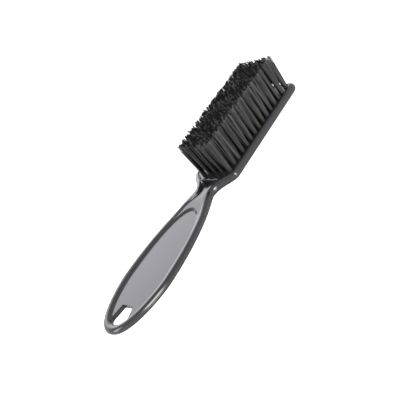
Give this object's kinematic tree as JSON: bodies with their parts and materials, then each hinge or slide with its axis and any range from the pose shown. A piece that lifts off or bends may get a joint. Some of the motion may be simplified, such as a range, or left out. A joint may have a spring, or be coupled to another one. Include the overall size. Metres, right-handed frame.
{
  "type": "fade brush",
  "caption": "Barber's cleaning brush: slim moulded handle with a sunk panel and hanging hole, and a rectangular head full of trimmed nylon bristle tufts.",
  "frame": {"origin": "under the middle of the brush, on the plane of its flat back", "axes": "+X from the handle's end to the head's far end, +Z the way the bristles stand, +Y across"},
  "size_m": [0.175, 0.0366, 0.0258],
  "materials": {
    "moulding": "glossy injection-moulded black",
    "bristles": "black nylon filament",
    "anchors": "drawn flat steel wire"
  },
  "bodies": {
    "root": {"handle_and_head": "moulding", "bristle_row_01": "bristles", "bristle_row_02": "bristles", "bristle_row_03": "bristles", "bristle_row_04": "bristles", "bristle_row_05": "bristles", "bristle_row_06": "bristles", "bristle_row_07": "bristles", "bristle_row_08": "bristles", "bristle_row_09": "bristles", "bristle_row_10": "bristles", "bristle_row_11": "bristles", "bristle_row_12": "bristles", "bristle_row_13": "bristles", "bristle_row_14": "bristles", "bristle_row_15": "bristles", "anchor_wire_01": "anchors", "anchor_wire_02": "anchors", "anchor_wire_03": "anchors", "anchor_wire_04": "anchors", "anchor_wire_05": "anchors", "anchor_wire_06": "anchors", "anchor_wire_07": "anchors", "anchor_wire_08": "anchors", "anchor_wire_09": "anchors", "anchor_wire_10": "anchors", "anchor_wire_11": "anchors", "anchor_wire_12": "anchors", "anchor_wire_13": "anchors", "anchor_wire_14": "anchors", "anchor_wire_15": "anchors"}
  },
  "joints": []
}
